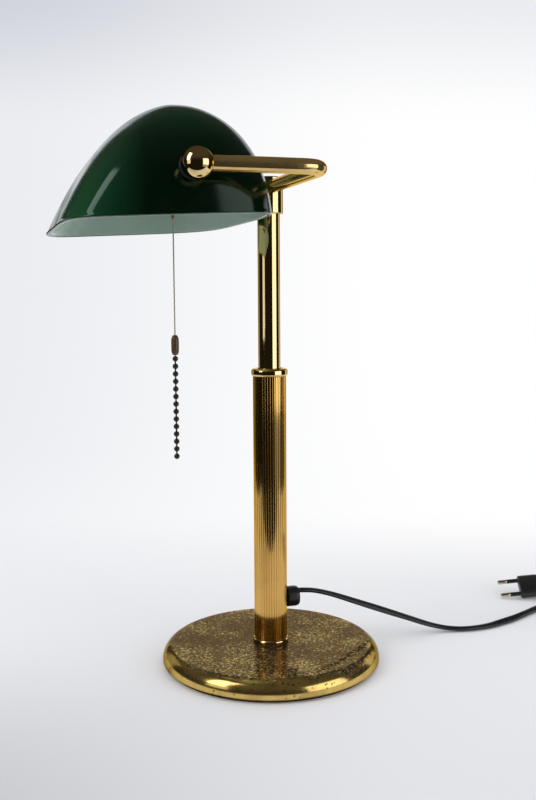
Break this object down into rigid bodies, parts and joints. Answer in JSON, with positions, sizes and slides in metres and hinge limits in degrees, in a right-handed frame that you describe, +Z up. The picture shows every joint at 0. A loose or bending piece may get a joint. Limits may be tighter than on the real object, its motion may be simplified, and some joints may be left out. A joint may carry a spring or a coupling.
{
  "type": "desk lamp",
  "caption": "Brass desk lamp: round weighted base, reeded column, lifting and turning stem, U-shaped yoke, tilting long green glass shade, pull switch and mains lead.",
  "frame": {"origin": "centre of the felt's underside, on the column's axis, at the table's surface", "axes": "+Z up along the column; +X along the shade, towards the arm that carries the lampholder; -Y towards the front, where the shade stands"},
  "size_m": [0.266, 0.5462, 0.4166],
  "materials": {
    "brass": "polished, lightly tarnished",
    "brass_base": "polished, with brown tarnish and small pits",
    "brass_column": "polished reeds with dark valleys",
    "dark_brass": "dull, darkened",
    "cast_iron": "rough, as cast",
    "steel_plate": "plain zinc-plated sheet",
    "steel_fixings": "plain zinc plating",
    "felt": "dark brown felt",
    "black_plastic": "satin black",
    "black_rubber": "matte black",
    "black_lead": "satin black",
    "tie_plastic": "matte black strip",
    "nylon": "unpainted nylon",
    "porcelain": "glazed, off-white",
    "lamp_cap": "bright rolled thread",
    "opal_glass": "opal white, satin",
    "green_glass": "high gloss, dark green outside, pale inside",
    "cream_string": "twisted cotton",
    "brown_plastic": "dark brown, satin",
    "dark_beads": "blackened beads",
    "nickel_pins": "nickel-plated, dulled"
  },
  "bodies": {
    "base": {"base_shell": "brass_base", "ballast": "cast_iron", "bottom_plate": "steel_plate", "felt_pad": "felt", "threaded_nipple": "steel_fixings", "base_washer": "steel_fixings", "base_nut": "steel_fixings", "column_plug": "brass", "foot_ring": "brass", "column": "brass_column", "column_collar": "brass", "cord_gland": "black_plastic", "gland_nut": "black_plastic", "column_lead": "black_lead", "mains_cord": "black_lead", "cord_coil": "black_lead", "cord_tail": "black_lead", "coil_tie": "tie_plastic", "plug_body": "black_plastic", "plug_sleeves": "black_plastic", "plug_pins": "nickel_pins"},
    "bush": {"glide_bush": "nylon"},
    "stem": {"stem": "brass", "stem_glide": "nylon", "hub": "brass", "hub_screws": "steel_fixings", "yoke": "brass", "yoke_balls": "brass", "pivot_tube": "brass", "pivot_stud": "brass", "pivot_spacers": "brass", "pivot_washers": "brass", "pivot_nuts": "brass", "holder_cap": "brass", "holder_core": "porcelain", "holder_sleeve": "brass", "socket_shell": "brass", "centre_contact": "brass", "bulb_cap": "lamp_cap", "bulb_glass": "opal_glass", "yoke_lead": "black_lead"},
    "shade": {"shade": "green_glass", "shade_grommets": "black_rubber"},
    "pull": {"switch_lever": "dark_brass", "switch_spring": "steel_fixings", "pull_string": "cream_string", "chain_connector": "brown_plastic", "bead_chain": "dark_beads"}
  },
  "joints": [
    {"name": "stem_swivel", "type": "hinge", "parent": "base", "child": "bush", "pos_m": [0, 0, 0.215], "axis": [0, 0, 1], "range_deg": [-170, 170]},
    {"name": "stem_lift", "type": "slide", "parent": "bush", "child": "stem", "axis": [0, 0, 1], "range_m": [-0.085, 0.038], "deforming": ["column_lead"]},
    {"name": "shade_tilt", "type": "hinge", "parent": "stem", "child": "shade", "pos_m": [0, -0.082, 0.3665], "axis": [-1, 0, 0], "range_deg": [-5, 45]},
    {"name": "switch_pull", "type": "slide", "parent": "stem", "child": "pull", "axis": [0, 0, -1], "range_m": [0, 0.008], "stiffness_N_per_m": 500, "springref_m": -0.004, "deforming": ["switch_spring"]}
  ]
}
